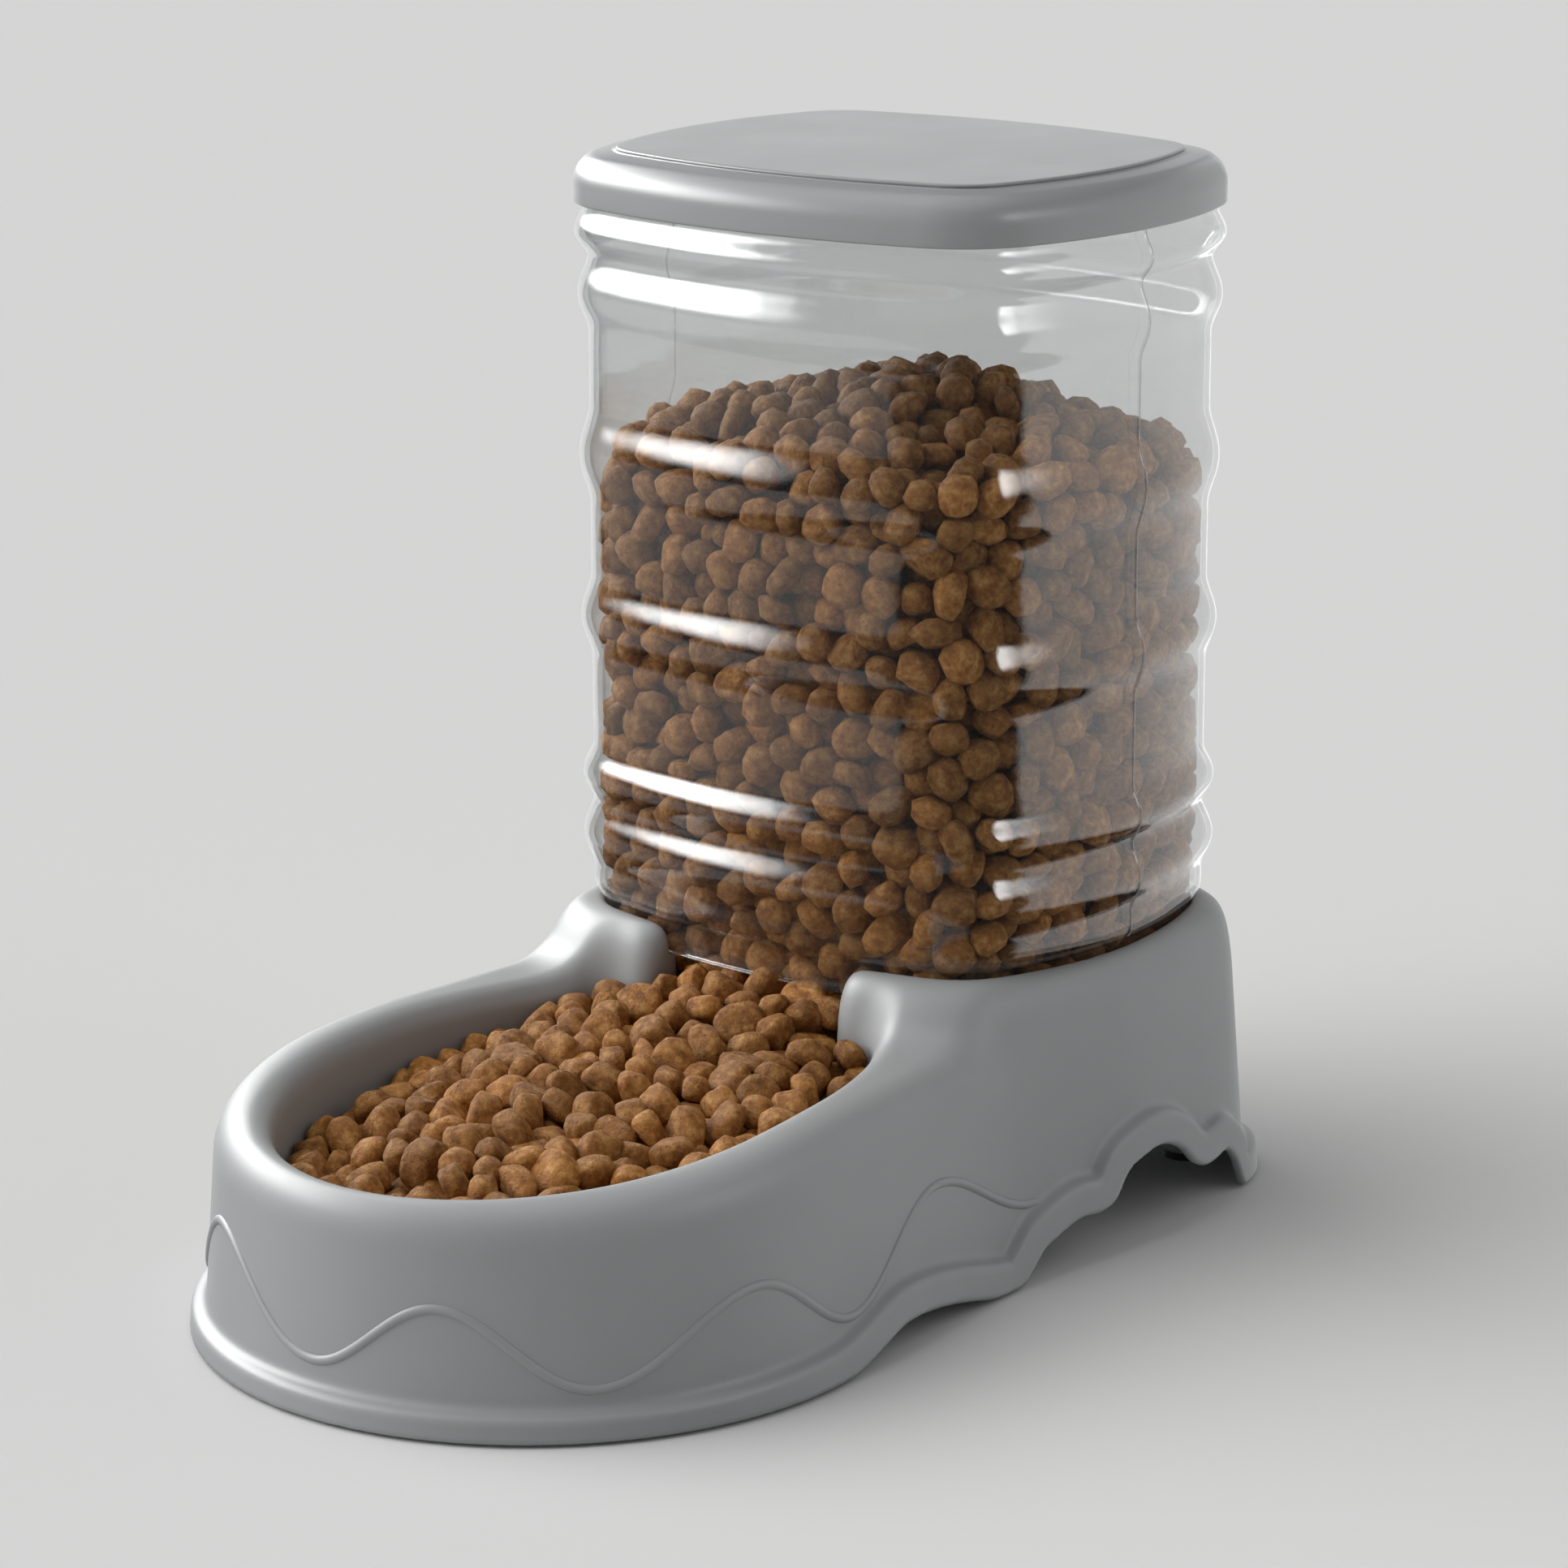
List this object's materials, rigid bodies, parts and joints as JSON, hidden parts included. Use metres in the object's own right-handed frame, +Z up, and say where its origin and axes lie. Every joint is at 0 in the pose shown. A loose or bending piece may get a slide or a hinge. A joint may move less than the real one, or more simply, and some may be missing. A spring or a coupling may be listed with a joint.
{
  "type": "gravity pet feeder",
  "caption": "Gravity pet feeder: a clear ribbed hopper with a lift-off lid stands in a one-piece base with a food bowl in front.",
  "frame": {"origin": "on the floor, under the middle of the whole object's box", "axes": "+Z up; the food bowl points to -Y and the hopper stands towards +Y; +X to the right seen from the bowl's front"},
  "size_m": [0.1872, 0.3269, 0.29],
  "materials": {
    "base_plastic": "satin moulded polypropylene",
    "lid_plastic": "satin moulded polypropylene",
    "clear_plastic": "clear blow-moulded PET",
    "pad_rubber": "matte"
  },
  "bodies": {
    "base": {"base": "base_plastic", "foot_pad_front_left": "pad_rubber", "foot_pad_front_right": "pad_rubber", "foot_pad_rear_left": "pad_rubber", "foot_pad_rear_right": "pad_rubber"},
    "hopper": {"hopper": "clear_plastic"},
    "lid": {"lid": "lid_plastic"}
  },
  "joints": [
    {"name": "hopper_lift", "type": "slide", "parent": "base", "child": "hopper", "axis": [0, 0, 1], "range_m": [0, 0.08]},
    {"name": "lid_lift", "type": "slide", "parent": "hopper", "child": "lid", "axis": [0, 0, 1], "range_m": [0, 0.06]}
  ]
}
